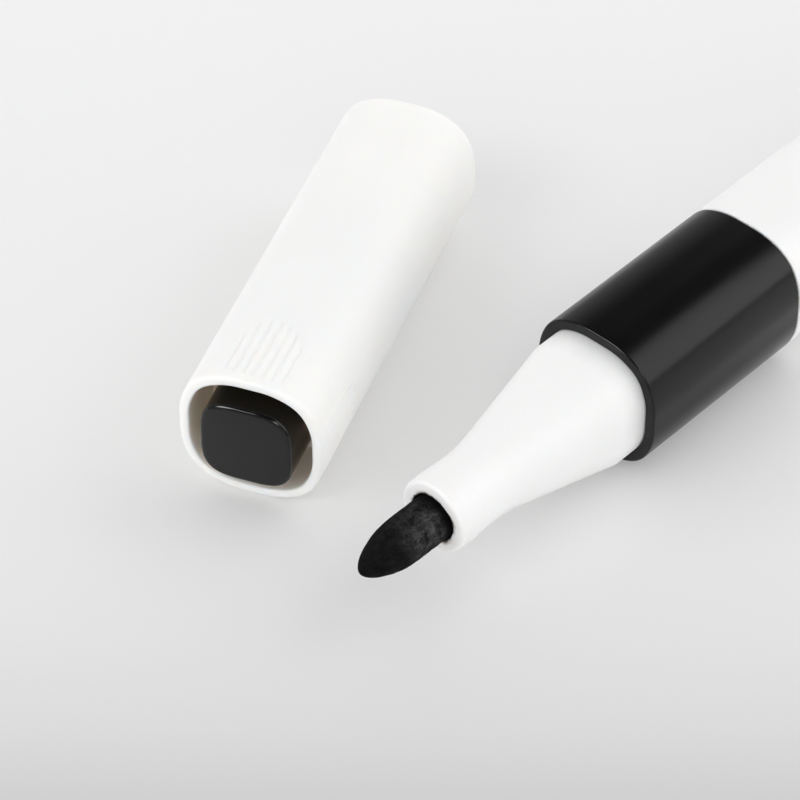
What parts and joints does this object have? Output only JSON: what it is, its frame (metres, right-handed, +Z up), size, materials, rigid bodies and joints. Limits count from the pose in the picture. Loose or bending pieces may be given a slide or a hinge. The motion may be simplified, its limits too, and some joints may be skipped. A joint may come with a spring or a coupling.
{
  "type": "acrylic paint marker",
  "caption": "Pump-action acrylic paint marker with a bullet nib and rounded-square white body, lying uncapped with its push-on cap beside it.",
  "frame": {"origin": "on the table, under the middle of the barrel", "axes": "+X along the cap from its closed end to its mouth, +Z up from the table; the pen lies turned 22.75 degrees from the cap, nib towards -X"},
  "size_m": [0.1276, 0.0799, 0.0135],
  "materials": {
    "white_plastic": "satin white polypropylene",
    "black_plastic": "gloss black",
    "natural_plastic": "natural translucent polyethylene",
    "nib_felt": "paint-soaked pressed fibre",
    "seal_rubber": "matte black rubber",
    "spring_steel": "bright steel"
  },
  "bodies": {
    "pen": {"barrel": "white_plastic", "collar": "black_plastic", "nose": "white_plastic", "tail_plug": "white_plastic", "tail_seal": "seal_rubber", "valve_housing": "natural_plastic", "neck_seal": "seal_rubber", "valve_seat": "seal_rubber", "spring_retainer": "natural_plastic", "valve_spring": "spring_steel"},
    "nib_unit": {"nib": "nib_felt", "nib_holder": "natural_plastic"},
    "valve": {"valve_poppet": "natural_plastic"},
    "cap_carrier": {"mixing_ball": "spring_steel"},
    "cap": {"cap_shell": "white_plastic", "cap_end_plug": "black_plastic", "cap_inner_seal": "natural_plastic"}
  },
  "joints": [
    {"name": "nib_press", "type": "slide", "parent": "pen", "child": "nib_unit", "axis": [0.9222, -0.3867, 0], "range_m": [0, 0.002], "stiffness_N_per_m": 800, "springref_m": -0.003, "deforming": ["valve_spring"]},
    {"name": "valve_lift", "type": "slide", "parent": "pen", "child": "valve", "axis": [0.9222, -0.3867, 0], "range_m": [0, 0.002]},
    {"name": "cap_push", "type": "slide", "parent": "pen", "child": "cap_carrier", "axis": [0.9222, -0.3867, 0], "range_m": [0, 0.06]},
    {"name": "cap_swing", "type": "hinge", "parent": "cap_carrier", "child": "cap", "pos_m": [-0.08012, 0.24694, 0], "axis": [0, 0, -1], "range_deg": [0, 22.75]}
  ],
  "couplings": [
    {"joint": "valve_lift", "follows": "nib_press", "ratio": 1}
  ]
}
